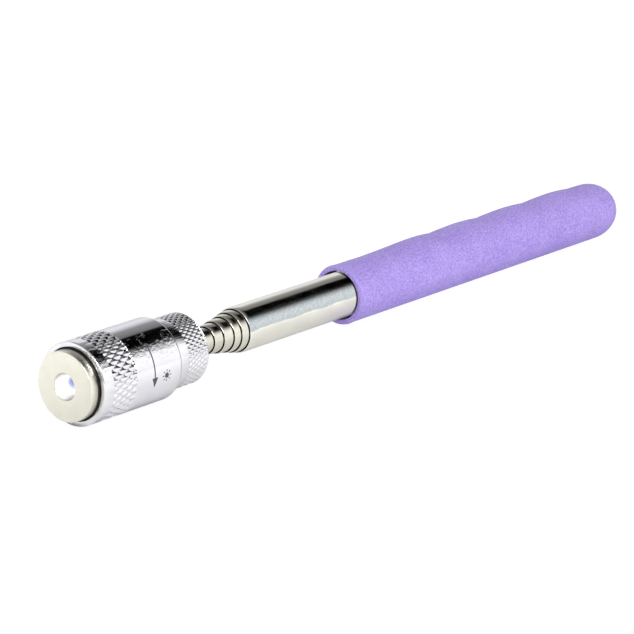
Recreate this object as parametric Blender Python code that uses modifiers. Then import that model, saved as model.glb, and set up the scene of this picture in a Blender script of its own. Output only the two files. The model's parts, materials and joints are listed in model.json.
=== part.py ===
"""Telescoping magnetic pickup tool with a lit ring magnet in a twist-switch head.

The tool lies along X, magnet towards +X, finger swells of the grip towards +Z.
Places along the tool are distances behind the barrel's front rim, and every
turned piece has its origin on the tool's axis.
"""
import math

import bpy

MM = 0.001

# Whole tool
TOOL_LENGTH = 207.1 * MM
MAGNET_PROUD = 2.6 * MM
RIM_X = TOOL_LENGTH / 2 - MAGNET_PROUD
SIDES = 32
GAP = 0.3 * MM

# Telescoping sections, numbered from the head's tube (1) to the fixed outer tube (6)
SECTION_COUNT = 6
OUTER_TUBE_RADIUS = 5.40 * MM
SECTION_STEP = 0.48 * MM
TUBE_WALL = 0.20 * MM
SLIP = 0.05 * MM
SECTION_FRONTS = [33.7 * MM, 43.0 * MM, 45.8 * MM, 48.75 * MM, 50.85 * MM, 53.05 * MM]
SECTION_REARS = [182.6 * MM, 185.3 * MM, 188.0 * MM, 190.9 * MM, 192.7 * MM, 198.0 * MM]
LIP_CLEARANCE = 0.10 * MM
LIP_LENGTH = 1.2 * MM
REAR_LIP_LENGTH = 0.9 * MM
REAR_LIP_DEPTH = 0.35 * MM
COLLAR_LENGTH = 3.0 * MM
FRICTION_SPRING_LENGTH = 8.0 * MM
SPLIT_ANGLE = math.radians(18)

# Grip
GRIP_RADIUS = 7.15 * MM
GRIP_MOUTH = 91.2 * MM
GRIP_END = TOOL_LENGTH - MAGNET_PROUD
GRIP_DOME_LENGTH = 9.0 * MM
GRIP_BORE_END = 199.0 * MM
MOUTH_FLARE = 0.10 * MM
MOUTH_BORE_RADIUS = 5.65 * MM
MOUTH_BORE_DEPTH = 3.0 * MM
FIRST_SWELL = 103.0 * MM
FIRST_GROOVE = 129.7 * MM
FINGER_PITCH = 19.73 * MM
GROOVE_COUNT = 4
GROOVE_HEIGHT = 0.26 * MM
SWELL_HEIGHT = 0.47 * MM
RING_SPACING = 2.6 * MM

# Head barrel
BARREL_RADIUS = 9.5 * MM
BARREL_END = 25.3 * MM
BARREL_SHOULDER = 24.3 * MM
POCKET_RADIUS = 8.28 * MM
POCKET_DEPTH = 5.5 * MM
WEB_END = 7.9 * MM
WEB_HOLE_RADIUS = 4.0 * MM
BATTERY_BORE_RADIUS = 6.45 * MM
THREAD_BORE_RADIUS = 7.45 * MM
THREAD_BORE_START = 18.8 * MM

# Magnet and its steel cup
MAGNET_RADIUS = 7.94 * MM
MAGNET_HOLE_RADIUS = 3.18 * MM
MAGNET_BACK = 3.0 * MM
CUP_RADIUS = 8.12 * MM
CUP_WALL = 0.14 * MM
CUP_END = 5.2 * MM
CUP_HOLE_RADIUS = 2.75 * MM

# Lamp
LAMP_RADIUS = 2.5 * MM
LAMP_TIP = -1.2 * MM
LAMP_FLANGE_RADIUS = 2.9 * MM
LAMP_END = 6.4 * MM
LEAD_OFFSET = 1.27 * MM
LEAD_WIDTH = 0.4 * MM
HOLDER_END = 9.4 * MM

# Rear cap and what it holds
CAP_RADIUS = 8.25 * MM
CAP_SHOULDER = 25.6 * MM
CAP_END = 35.55 * MM
SPIGOT_START = 19.3 * MM
SPIGOT_RADIUS = 7.3 * MM
CAVITY_RADIUS = 6.35 * MM
CAVITY_END = 31.4 * MM
CAP_FLOOR_END = 33.4 * MM
SCREW_HOLE_RADIUS = 1.5 * MM
SCREW_RADIUS = 1.2 * MM
SCREW_END = 38.0 * MM
CELL_RADIUS = 5.8 * MM
CELL_HEIGHT = 5.4 * MM
CELL_COUNT = 3
FIRST_CELL = 11.3 * MM
SLEEVE_START = 10.2 * MM
SLEEVE_END = 28.2 * MM
O_RING_PLACE = 24.6 * MM

# Colour, roughness and metallic value of each material
MATERIALS = {
    "chrome": ((0.82, 0.82, 0.84), 0.12, 1.0),
    "nickel_tube": ((0.72, 0.70, 0.64), 0.18, 1.0),
    "nickel_magnet": ((0.80, 0.77, 0.66), 0.30, 1.0),
    "spring_steel": ((0.55, 0.55, 0.56), 0.30, 1.0),
    "brass": ((0.78, 0.60, 0.30), 0.30, 1.0),
    "steel": ((0.62, 0.62, 0.63), 0.28, 1.0),
    "purple_vinyl": ((0.43, 0.31, 0.76), 0.62, 0.0),
    "black_rubber": ((0.02, 0.02, 0.02), 0.70, 0.0),
    "white_plastic": ((0.85, 0.85, 0.83), 0.45, 0.0),
    "clear_lamp": ((0.92, 0.94, 1.00), 0.08, 0.0),
}


def clear_scene():
    for obj in list(bpy.data.objects):
        bpy.data.objects.remove(obj)


def make_collection(name):
    collection = bpy.data.collections.new(name)
    bpy.context.scene.collection.children.link(collection)
    return collection


def make_material(name):
    colour, roughness, metallic = MATERIALS[name]
    material = bpy.data.materials.new(name)
    material.use_nodes = True
    shader = material.node_tree.nodes["Principled BSDF"]
    shader.inputs["Base Color"].default_value = (*colour, 1.0)
    shader.inputs["Roughness"].default_value = roughness
    shader.inputs["Metallic"].default_value = metallic
    return material


def make_axis():
    """Empty whose local +Z is the tool's axis; a flat of each round piece faces down."""
    axis = bpy.data.objects.new("tool_axis", None)
    axis.location = (0.0, 0.0, BARREL_RADIUS * math.cos(math.pi / SIDES))
    axis.rotation_euler = (0.0, math.pi / 2, 0.0)
    PARTS.objects.link(axis)
    return axis


def place(name, data, material, station, turn=math.pi / SIDES):
    """Put a piece on the axis, `station` behind the rim and turned about the axis."""
    obj = bpy.data.objects.new(name, data)
    obj.parent = AXIS
    obj.location = (0.0, 0.0, RIM_X - station)
    obj.rotation_euler = (0.0, 0.0, turn)
    data.materials.append(make_material(material))
    PARTS.objects.link(obj)
    return obj


def bake(obj):
    """Replace an object's data by its evaluated mesh, shaded smooth between edges."""
    graph = bpy.context.evaluated_depsgraph_get()
    mesh = bpy.data.meshes.new_from_object(obj.evaluated_get(graph))
    obj.modifiers.clear()
    obj.data = mesh
    mesh.shade_smooth()
    mesh.set_sharp_from_angle(angle=math.radians(32))
    return obj


def turned(name, outline, material, sides=SIDES):
    """Solid of revolution; the outline's (radius, behind) points run from the front
    down the outer side, then back up the inner side where the piece is a ring."""
    station = min(behind for radius, behind in outline)
    points = [(radius, 0.0, station - behind) for radius, behind in outline]
    edges = [(i, i + 1) for i in range(len(points) - 1)]
    if outline[0][0] > 0.0:
        edges.append((len(points) - 1, 0))
    mesh = bpy.data.meshes.new(name)
    mesh.from_pydata(points, edges, [])
    obj = place(name, mesh, material, station)
    screw = obj.modifiers.new("turn", "SCREW")
    screw.steps = sides
    screw.render_steps = sides
    screw.use_merge_vertices = True
    screw.merge_threshold = 0.00001
    return bake(obj)


def ring(inner, outer, front, back):
    return [(outer, front), (outer, back), (inner, back), (inner, front)]


def split_ring(name, inner, outer, front, back, material):
    """Sleeve or washer with a slit along one side."""
    mesh = bpy.data.meshes.new(name)
    middle = (inner + outer) / 2
    mesh.from_pydata([(middle, 0.0, 0.0), (middle, 0.0, front - back)], [(0, 1)], [])
    obj = place(name, mesh, material, front)
    screw = obj.modifiers.new("turn", "SCREW")
    screw.angle = 2 * math.pi - SPLIT_ANGLE
    screw.steps = SIDES - 2
    screw.render_steps = SIDES - 2
    screw.use_merge_vertices = False
    wall = obj.modifiers.new("wall", "SOLIDIFY")
    wall.thickness = outer - inner
    wall.offset = 0.0
    return bake(obj)


def arc(centre, radius, start, end, steps):
    """Points on an arc in (radius, behind) space; 0 degrees is outward, 90 is forward."""
    points = []
    for step in range(steps + 1):
        angle = math.radians(start + (end - start) * step / steps)
        points.append((centre[0] + radius * math.cos(angle), centre[1] - radius * math.sin(angle)))
    return points


# ---------------------------------------------------------------- telescoping tubes

def tube_outer(section):
    return OUTER_TUBE_RADIUS - SECTION_STEP * (SECTION_COUNT - section)


def tube_inner(section):
    return tube_outer(section) - TUBE_WALL


def tube_front(section):
    return SECTION_FRONTS[section - 1]


def tube_rear(section):
    return SECTION_REARS[section - 1]


def rolled_tube(name, section):
    """Tube with its front edge rolled in over the next tube and its rear turned in."""
    outer = tube_outer(section)
    inner = tube_inner(section)
    front = tube_front(section)
    rear = tube_rear(section)
    mouth = tube_outer(section - 1) + LIP_CLEARANCE
    roll = outer - mouth
    outline = arc((mouth, front + roll), roll, 80, 0, 3)
    outline.append((outer, rear))
    outline.append((inner - REAR_LIP_DEPTH, rear))
    outline.append((inner - REAR_LIP_DEPTH, rear - REAR_LIP_LENGTH))
    outline.append((inner, rear - REAR_LIP_LENGTH))
    outline.append((inner, front + LIP_LENGTH))
    outline.append((mouth, front + roll))
    return turned(name, outline, "nickel_tube")


def straight_tube(name, section):
    outline = ring(tube_inner(section), tube_outer(section), tube_front(section), tube_rear(section))
    return turned(name, outline, "nickel_tube")


def make_sections():
    straight_tube("tube_1", 1)
    for section in range(2, SECTION_COUNT):
        rolled_tube(f"tube_{section}", section)
    rolled_tube("outer_tube", SECTION_COUNT)
    for section in range(1, SECTION_COUNT):
        inner = tube_outer(section) + SLIP
        outer = tube_inner(section + 1) - SLIP
        collar_back = tube_rear(section)
        collar_front = collar_back - COLLAR_LENGTH
        spring_back = collar_front - GAP
        spring_front = spring_back - FRICTION_SPRING_LENGTH
        turned(f"collar_{section}", ring(inner, outer, collar_front, collar_back), "brass")
        split_ring(f"friction_spring_{section}", inner, outer, spring_front, spring_back, "spring_steel")


def make_end_plug():
    radius = tube_inner(SECTION_COUNT) - GAP
    front = tube_rear(SECTION_COUNT - 1) + GAP
    back = tube_rear(SECTION_COUNT) - REAR_LIP_LENGTH - GAP
    bevel = 0.6 * MM
    outline = [(0.0, front), (radius - bevel, front), (radius, front + bevel), (radius, back), (0.0, back)]
    turned("end_plug", outline, "white_plastic")


# ---------------------------------------------------------------- grip

def swell(behind):
    """Height of the finger swells' crest above the round grip."""
    fraction = (behind - FIRST_SWELL) / (FIRST_GROOVE - FIRST_SWELL)
    if fraction <= 0.0:
        return 0.0
    if fraction <= 1.0:
        return GROOVE_HEIGHT * fraction + SWELL_HEIGHT * bump(fraction, 2.2)
    fingers = (behind - FIRST_GROOVE) / FINGER_PITCH
    if fingers <= GROOVE_COUNT - 1:
        return GROOVE_HEIGHT + SWELL_HEIGHT * bump(fingers % 1.0, 1.3)
    last_groove = FIRST_GROOVE + (GROOVE_COUNT - 1) * FINGER_PITCH
    remaining = (GRIP_END - behind) / (GRIP_END - last_groove)
    return GROOVE_HEIGHT * math.sqrt(max(remaining, 0.0))


def bump(fraction, lean):
    """Rise from 0 to 1 and back, with sharp ends and a peak that leans backwards."""
    return max(math.sin(math.pi * fraction ** lean), 0.0) ** 0.75


def grip_stations():
    """Where the grip's rings lie along its straight part, with one in each groove."""
    marks = [GRIP_MOUTH + MOUTH_BORE_DEPTH, FIRST_SWELL]
    marks += [FIRST_GROOVE + FINGER_PITCH * finger for finger in range(GROOVE_COUNT)]
    marks.append(GRIP_END - GRIP_DOME_LENGTH)
    stations = []
    for start, end in zip(marks, marks[1:]):
        count = max(1, round((end - start) / RING_SPACING))
        stations += [start + (end - start) * step / count for step in range(count)]
    return stations


def make_grip():
    lip = 0.5 * MM
    bore = OUTER_TUBE_RADIUS + SLIP
    outline = arc((GRIP_RADIUS + MOUTH_FLARE - lip, GRIP_MOUTH + lip), lip, 90, 0, 3)
    outline += [(GRIP_RADIUS, station) for station in grip_stations()]
    dome_start = GRIP_END - GRIP_DOME_LENGTH
    dome_steps = 7
    for step in range(dome_steps + 1):
        angle = math.pi / 2 * step / dome_steps
        outline.append((GRIP_RADIUS * math.cos(angle), dome_start + GRIP_DOME_LENGTH * math.sin(angle)))
    outline[-1] = (0.0, GRIP_END)
    outline.append((0.0, GRIP_BORE_END))
    outline.append((bore, GRIP_BORE_END))
    outline.append((bore, GRIP_MOUTH + MOUTH_BORE_DEPTH))
    outline.append((MOUTH_BORE_RADIUS, GRIP_MOUTH + MOUTH_BORE_DEPTH - lip))
    outline.append((MOUTH_BORE_RADIUS, GRIP_MOUTH + lip))
    outline.append((MOUTH_BORE_RADIUS + lip / 2, GRIP_MOUTH))
    grip = turned("grip", outline, "purple_vinyl")
    half_facet = math.pi / SIDES
    for vertex in grip.data.vertices:
        x, y, z = vertex.co
        radius = math.hypot(x, y)
        angle = math.atan2(y, x) + half_facet - math.pi
        facing_up = max(math.cos(angle), 0.0) ** 1.5
        if radius > MOUTH_BORE_RADIUS or z < GRIP_MOUTH - GRIP_BORE_END - GAP:
            fade = min(radius / GRIP_RADIUS, 1.0)
            scale = 1.0 + swell(GRIP_MOUTH - z) * facing_up * fade / GRIP_RADIUS
            vertex.co.x = x * scale
            vertex.co.y = y * scale


# ---------------------------------------------------------------- head

def make_barrel():
    rim = 0.35 * MM
    edge = 0.20 * MM
    outline = arc((POCKET_RADIUS + edge, edge), edge, 180, 90, 3)
    outline += arc((BARREL_RADIUS - rim, rim), rim, 70, 0, 4)
    outline += [
        (BARREL_RADIUS, BARREL_SHOULDER),
        (BARREL_RADIUS - 0.3 * MM, BARREL_SHOULDER + 0.7 * MM),
        (BARREL_RADIUS - 1.0 * MM, BARREL_END),
        (THREAD_BORE_RADIUS, BARREL_END),
        (THREAD_BORE_RADIUS, THREAD_BORE_START),
        (BATTERY_BORE_RADIUS, THREAD_BORE_START),
        (BATTERY_BORE_RADIUS, WEB_END),
        (WEB_HOLE_RADIUS, WEB_END),
        (WEB_HOLE_RADIUS, POCKET_DEPTH),
        (POCKET_RADIUS, POCKET_DEPTH),
    ]
    turned("head_barrel", outline, "chrome")


def make_magnet():
    edge = 0.25 * MM
    face = -MAGNET_PROUD
    outline = [(MAGNET_HOLE_RADIUS + edge, face)]
    outline += arc((MAGNET_RADIUS - edge, face + edge), edge, 90, 0, 3)
    outline += [
        (MAGNET_RADIUS, MAGNET_BACK),
        (MAGNET_HOLE_RADIUS, MAGNET_BACK),
        (MAGNET_HOLE_RADIUS, face + edge),
    ]
    turned("ring_magnet", outline, "nickel_magnet")


def make_magnet_cup():
    inner = CUP_RADIUS - CUP_WALL
    floor = MAGNET_BACK + GAP
    front = -0.4 * MM
    outline = [
        (CUP_RADIUS, front),
        (CUP_RADIUS, CUP_END),
        (CUP_HOLE_RADIUS, CUP_END),
        (CUP_HOLE_RADIUS, floor),
        (inner, floor),
        (inner, front),
    ]
    turned("magnet_seat", outline, "steel")


def make_lamp():
    flange_front = LAMP_END - 1.0 * MM
    dome_centre = LAMP_TIP + LAMP_RADIUS
    outline = arc((0.0, dome_centre), LAMP_RADIUS, 90, 0, 6)
    outline[0] = (0.0, LAMP_TIP)
    outline += [
        (LAMP_RADIUS, flange_front),
        (LAMP_FLANGE_RADIUS, flange_front),
        (LAMP_FLANGE_RADIUS, LAMP_END),
        (0.0, LAMP_END),
    ]
    turned("led_lamp", outline, "clear_lamp", 24)
    boss = WEB_HOLE_RADIUS - GAP
    front = LAMP_END + GAP
    flange = BATTERY_BORE_RADIUS - GAP
    outline = [
        (boss, front),
        (boss, WEB_END + GAP),
        (flange, WEB_END + GAP),
        (flange, HOLDER_END),
        (2.0 * MM, HOLDER_END),
        (2.0 * MM, front),
    ]
    turned("led_holder", outline, "white_plastic")


def flat_strip(name, outline, station, width, material):
    """Sheet-metal piece: an outline of (along the axis, up) points, `width` thick in Y."""
    curve = bpy.data.curves.new(name, "CURVE")
    curve.dimensions = "2D"
    curve.fill_mode = "BOTH"
    curve.extrude = width / 2
    spline = curve.splines.new("POLY")
    spline.points.add(len(outline) - 1)
    for point, (along, up) in zip(spline.points, outline):
        point.co = (along, up, 0.0, 1.0)
    spline.use_cyclic_u = True
    obj = place(name, curve, material, station, 0.0)
    obj.rotation_euler = (math.radians(90), math.radians(-90), 0.0)
    return obj


def make_leads():
    """The lamp's straight lead reaches the battery, the bent one the barrel's bore."""
    front = LAMP_END + GAP
    half = LEAD_WIDTH / 2
    pin_end = SLEEVE_START + 0.2 * MM
    pin = [(0.0, LEAD_OFFSET - half), (0.0, LEAD_OFFSET + half)]
    pin += [(front - pin_end, LEAD_OFFSET + half), (front - pin_end, LEAD_OFFSET - half)]
    flat_strip("led_anode_pin", pin, front, LEAD_WIDTH, "brass")
    foot_front = front - HOLDER_END - 0.25 * MM
    foot_back = foot_front - 0.25 * MM
    reach = BATTERY_BORE_RADIUS - GAP
    clip = [
        (0.0, -LEAD_OFFSET + half),
        (foot_back, -LEAD_OFFSET + half),
        (foot_back, -reach),
        (foot_front, -reach),
        (foot_front, -LEAD_OFFSET - half),
        (0.0, -LEAD_OFFSET - half),
    ]
    flat_strip("led_cathode_clip", clip, front, 2 * LEAD_WIDTH, "brass")


def make_rear_cap():
    bevel = 0.8 * MM
    ridge = 0.25 * MM
    thread_pitch = 1.0 * MM
    groove_radius = SPIGOT_RADIUS - 0.55 * MM
    groove_half = 0.6 * MM
    outline = [(SPIGOT_RADIUS - 2 * ridge, SPIGOT_START)]
    for turn in range(4):
        crest = SPIGOT_START + (turn + 1) * thread_pitch
        outline.append((SPIGOT_RADIUS, crest))
        outline.append((SPIGOT_RADIUS - ridge, crest + thread_pitch / 2))
    outline += [
        (SPIGOT_RADIUS, O_RING_PLACE - groove_half),
        (groove_radius, O_RING_PLACE - groove_half),
        (groove_radius, O_RING_PLACE + groove_half),
        (SPIGOT_RADIUS, O_RING_PLACE + groove_half),
        (SPIGOT_RADIUS, CAP_SHOULDER),
        (CAP_RADIUS - ridge, CAP_SHOULDER),
        (CAP_RADIUS, CAP_SHOULDER + ridge),
        (CAP_RADIUS, CAP_END - bevel),
        (CAP_RADIUS - bevel, CAP_END),
        (tube_outer(1) + GAP, CAP_END),
        (tube_outer(1) + GAP, CAP_FLOOR_END),
        (SCREW_HOLE_RADIUS, CAP_FLOOR_END),
        (SCREW_HOLE_RADIUS, CAVITY_END),
        (CAVITY_RADIUS, CAVITY_END),
        (CAVITY_RADIUS, SPIGOT_START),
    ]
    turned("rear_cap", outline, "chrome")


def make_cap_fixings():
    head_radius = 2.6 * MM
    head_front = CAVITY_END - 1.9 * MM
    head_back = CAVITY_END - 0.8 * MM
    screw = [
        (0.0, head_front),
        (head_radius - 0.5 * MM, head_front),
        (head_radius, head_front + 0.4 * MM),
        (head_radius, head_back),
        (SCREW_RADIUS, head_back),
        (SCREW_RADIUS, SCREW_END),
        (0.0, SCREW_END),
    ]
    turned("cap_screw", screw, "steel", 16)
    washer_front = head_back + 0.2 * MM
    split_ring("lock_washer", SCREW_RADIUS + GAP, head_radius - GAP, washer_front,
               washer_front + 0.4 * MM, "spring_steel")
    insert = ring(SCREW_RADIUS + GAP, tube_inner(1) - 0.15 * MM, tube_front(1), tube_front(1) + 6.5 * MM)
    turned("tip_insert", insert, "brass")
    minor = 0.28 * MM
    major = SPIGOT_RADIUS - 0.20 * MM
    section_steps = 8
    outline = arc((major, O_RING_PLACE), minor, 90, 90 - 360 * (section_steps - 1) / section_steps,
                  section_steps - 1)
    turned("o_ring", outline, "black_rubber")


def make_contact_spring():
    """Coil that presses the cells forward, round the head of the cap's screw."""
    turns = 2.5
    points_per_turn = 16
    coil_radius = 4.6 * MM
    wire_radius = 0.22 * MM
    front = SLEEVE_END + 0.2 * MM + wire_radius
    back = CAVITY_END - 0.2 * MM - wire_radius
    curve = bpy.data.curves.new("contact_spring", "CURVE")
    curve.dimensions = "3D"
    curve.bevel_depth = wire_radius
    curve.bevel_resolution = 2
    curve.use_fill_caps = True
    spline = curve.splines.new("POLY")
    count = round(turns * points_per_turn)
    spline.points.add(count)
    for index, point in enumerate(spline.points):
        angle = 2 * math.pi * index / points_per_turn
        drop = (front - back) * index / count
        point.co = (coil_radius * math.cos(angle), coil_radius * math.sin(angle), drop, 1.0)
    place("contact_spring", curve, "spring_steel", front)


def make_battery():
    wall = 0.25 * MM
    outer = CAVITY_RADIUS - 0.15 * MM
    turned("battery_sleeve", ring(outer - wall, outer, SLEEVE_START, SLEEVE_END), "white_plastic")
    step = 0.5 * MM
    for number in range(1, CELL_COUNT + 1):
        front = FIRST_CELL + (number - 1) * (CELL_HEIGHT + 0.2 * MM)
        back = front + CELL_HEIGHT
        outline = [
            (0.0, front),
            (CELL_RADIUS - 0.3 * MM, front),
            (CELL_RADIUS, front + 0.3 * MM),
            (CELL_RADIUS, back - step),
            (CELL_RADIUS - 2 * step, back - step),
            (CELL_RADIUS - 2 * step, back),
            (0.0, back),
        ]
        turned(f"battery_cell_{number}", outline, "steel", 24)
    disc_front = SLEEVE_START + 0.4 * MM
    disc = [(0.0, disc_front), (CELL_RADIUS, disc_front), (CELL_RADIUS, disc_front + 0.4 * MM)]
    disc.append((0.0, disc_front + 0.4 * MM))
    turned("contact_disc", disc, "brass", 24)


clear_scene()
PARTS = make_collection("magnetic_pickup_tool")
AXIS = make_axis()
make_grip()
make_end_plug()
make_sections()
make_rear_cap()
make_cap_fixings()
make_contact_spring()
make_battery()
make_barrel()
make_magnet()
make_magnet_cup()
make_lamp()
make_leads()
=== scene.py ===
"""Looks of the telescoping magnetic pickup tool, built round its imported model.

Lengths are in metres. Places along the tool are distances behind the barrel's
front rim, and angles round its axis run from +Y (0) towards +Z (90 degrees).
"""
import json
import math

import bmesh
import bpy
import numpy as np
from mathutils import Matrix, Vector, noise


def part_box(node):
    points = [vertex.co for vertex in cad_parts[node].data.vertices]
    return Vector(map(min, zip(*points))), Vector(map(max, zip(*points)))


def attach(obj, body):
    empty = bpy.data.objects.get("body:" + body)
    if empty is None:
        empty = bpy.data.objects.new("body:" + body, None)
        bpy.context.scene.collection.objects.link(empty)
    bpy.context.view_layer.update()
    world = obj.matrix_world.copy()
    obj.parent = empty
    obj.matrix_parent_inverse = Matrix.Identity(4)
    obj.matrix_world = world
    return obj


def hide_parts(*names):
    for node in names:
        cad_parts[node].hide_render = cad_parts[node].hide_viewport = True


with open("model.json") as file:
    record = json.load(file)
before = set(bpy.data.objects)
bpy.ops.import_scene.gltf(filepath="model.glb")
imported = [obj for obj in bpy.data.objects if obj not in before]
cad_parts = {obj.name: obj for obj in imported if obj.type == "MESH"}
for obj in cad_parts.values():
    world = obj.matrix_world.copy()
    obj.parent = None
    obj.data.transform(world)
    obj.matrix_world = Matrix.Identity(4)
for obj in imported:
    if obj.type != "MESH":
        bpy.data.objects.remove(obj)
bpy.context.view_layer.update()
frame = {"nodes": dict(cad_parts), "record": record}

MM = 0.001
TINY = 1e-6
CAD_SIDES = 32


def joint_place(name):
    for joint in frame["record"]["behaviour"]["joints"]:
        if joint["name"] == name:
            return Vector(joint["pos_m"])
    raise ValueError(name)


AXIS_Z = joint_place("head_twist").z
RIM_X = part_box("head_barrel")[1].x


def front_of(node):
    return RIM_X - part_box(node)[1].x


def rear_of(node):
    return RIM_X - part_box(node)[0].x


def radius_of(node):
    """Radius of a round CAD node, whose flats face down and sideways."""
    low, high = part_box(node)
    return (high.y - low.y) / 2 / math.cos(math.pi / CAD_SIDES)


# ---------------------------------------------------------------- dimensions

FINE_SIDES = 192
SHARP_ANGLE = 32

BARREL_RADIUS = radius_of("head_barrel")
BARREL_END = rear_of("head_barrel")
RIM_ROUNDING = 0.35 * MM
POCKET_EDGE = 0.20 * MM
BARREL_SHOULDER = 24.3 * MM
POCKET_RADIUS = 8.20 * MM
POCKET_DEPTH = 5.5 * MM
WEB_END = 7.9 * MM
WEB_HOLE_RADIUS = 4.0 * MM
BATTERY_BORE_RADIUS = 6.45 * MM
THREAD_BORE_RADIUS = 7.45 * MM
THREAD_BORE_START = 18.8 * MM

CAP_RADIUS = radius_of("rear_cap")
CAP_SHOULDER = 25.6 * MM
CAP_END = rear_of("rear_cap")
SPIGOT_START = front_of("rear_cap")
SPIGOT_RADIUS = 7.3 * MM
THREAD_PITCH = 1.0 * MM
THREAD_DEPTH = 0.25 * MM
THREAD_TURNS = 4
CAVITY_RADIUS = 6.35 * MM
CAVITY_END = 31.4 * MM
CAP_FLOOR_END = 33.4 * MM
CAP_BEVEL = 0.8 * MM
O_RING_PLACE = 24.6 * MM
O_RING_GROOVE_WIDTH = 1.2 * MM
O_RING_GROOVE_DEPTH = 0.55 * MM
SCREW_HOLE_RADIUS = 1.5 * MM

# Knurling: diamonds round the piece, their length, depth and mesh steps, and where two grooves cross
BARREL_KNURL = {
    "radius": BARREL_RADIUS, "start": 3.0 * MM, "end": 10.4 * MM, "around": 34, "length": 3.04 * MM,
    "depth": 0.31 * MM, "steps": 18, "crossing": 6.67 * MM, "turned": math.radians(24.8),
}
CAP_KNURL = {
    "radius": CAP_RADIUS, "start": 28.6 * MM, "end": 34.95 * MM, "around": 42, "length": 2.0 * MM,
    "depth": 0.22 * MM, "steps": 14, "crossing": 30.3 * MM, "turned": math.radians(18.0),
}
KNURL_EDGE = 0.22 * MM
DIAMOND_ROUNDNESS = 0.85
# Painted shade in the knurl's pits: their size, the sine of the side angle where the shade starts, and how
# far it takes to rise
PIT_SIZE = 0.30
PIT_SHADE_LOWEST = -0.12
PIT_SHADE_RISE = 0.30

MAGNET_RADIUS = radius_of("ring_magnet")
MAGNET_FACE = front_of("ring_magnet")
MAGNET_BACK = rear_of("ring_magnet")
MAGNET_HOLE_RADIUS = 3.05 * MM
MAGNET_EDGE = 0.25 * MM
MAGNET_HOLE_EDGE = 0.18 * MM
MAGNET_BACK_EDGE = 0.20 * MM
CUP_RADIUS = radius_of("magnet_seat")
CUP_WALL = 0.14 * MM
CUP_HOLE_RADIUS = 2.75 * MM

LAMP_RADIUS = 2.5 * MM
LAMP_TIP = front_of("led_lamp")
LAMP_END = rear_of("led_lamp")
LAMP_FLANGE_RADIUS = 2.9 * MM
LAMP_FLANGE_LENGTH = 1.0 * MM

SECTION_COUNT = 6
CELL_COUNT = 3
TUBE_WALL = 0.20 * MM
LIP_LENGTH = 1.2 * MM
LIP_CLEARANCE = 0.17 * MM
LIP_TAPER = 1.5 * MM
LIP_ROUNDING = 0.06 * MM
LIP_STEPS = 12
REAR_LIP_LENGTH = 0.9 * MM
REAR_LIP_DEPTH = 0.35 * MM

GRIP_RADIUS = 7.15 * MM
GRIP_MOUTH = front_of("grip")
GRIP_END = rear_of("grip")
GRIP_DOME_LENGTH = 9.0 * MM
GRIP_DOME_STEPS = 28
GRIP_SIDES = 288
GRIP_SPACING = 0.34 * MM
GRIP_BORE_RADIUS = 5.45 * MM
GRIP_BORE_END = 199.0 * MM
GRIP_LIP = 0.7 * MM
MOUTH_FLARE = 0.10 * MM
MOUTH_FLARE_LENGTH = 3.0 * MM
MOUTH_BORE_RADIUS = 5.90 * MM
MOUTH_BORE_DEPTH = 3.0 * MM
MOUTH_BORE_EDGE = 0.25 * MM
FIRST_SWELL = 103.0 * MM
FIRST_GROOVE = 129.7 * MM
FINGER_PITCH = 19.73 * MM
GROOVE_COUNT = 4
GROOVE_HEIGHT = 0.26 * MM
SWELL_HEIGHT = 0.47 * MM
SWELL_FULLNESS = 0.75
SWELL_NARROWNESS = 1.5
PEBBLE_SIZE = 0.62 * MM
PEBBLE_HEIGHT = 0.035 * MM
MOULD_MARKS = ((151.25 * MM, 57.0), (170.25 * MM, 53.0), (189.5 * MM, 49.0))
MOULD_MARK_LENGTH = 1.3 * MM
MOULD_MARK_WIDTH = 0.55 * MM
MOULD_MARK_HEIGHT = 0.13 * MM

ARROW_PLACE = 16.0 * MM
SIGN_PLACE = 19.8 * MM
SIGN_ANGLE = -5.0
SIGN_RAYS = 8
SIGN_DISC_SIDES = 24
PRINT_THICKNESS = 0.03 * MM
PRINT_LONGEST_EDGE = 0.25 * MM


# ---------------------------------------------------------------- meshes

def finish_mesh(name, mesh, sharp_angle=SHARP_ANGLE):
    """Closed mesh with outward normals, smooth between its edges."""
    work = bmesh.new()
    work.from_mesh(mesh)
    bmesh.ops.remove_doubles(work, verts=work.verts, dist=1e-7)
    bmesh.ops.recalc_face_normals(work, faces=work.faces)
    work.to_mesh(mesh)
    work.free()
    mesh.shade_smooth()
    mesh.set_sharp_from_angle(angle=math.radians(sharp_angle))
    obj = bpy.data.objects.new(name, mesh)
    bpy.context.scene.collection.objects.link(obj)
    return obj


def grid_mesh(name, places, close_rows):
    """Mesh over a grid of points whose columns go all the way round."""
    rows, columns, _ = places.shape
    index = np.arange(rows * columns).reshape(rows, columns)
    here = index if close_rows else index[:-1]
    after = np.roll(index, -1, axis=0) if close_rows else index[1:]
    faces = np.stack([here, after, np.roll(after, -1, axis=1), np.roll(here, -1, axis=1)], axis=-1)
    mesh = bpy.data.meshes.new(name)
    mesh.from_pydata(places.reshape(-1, 3).tolist(), [], faces.reshape(-1, 4).tolist())
    return mesh


def on_axis(radius, behind, angle):
    """Points in the row frame from places round the tool's axis."""
    return np.stack([RIM_X - behind, radius * np.cos(angle), AXIS_Z + radius * np.sin(angle)], axis=-1)


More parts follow.
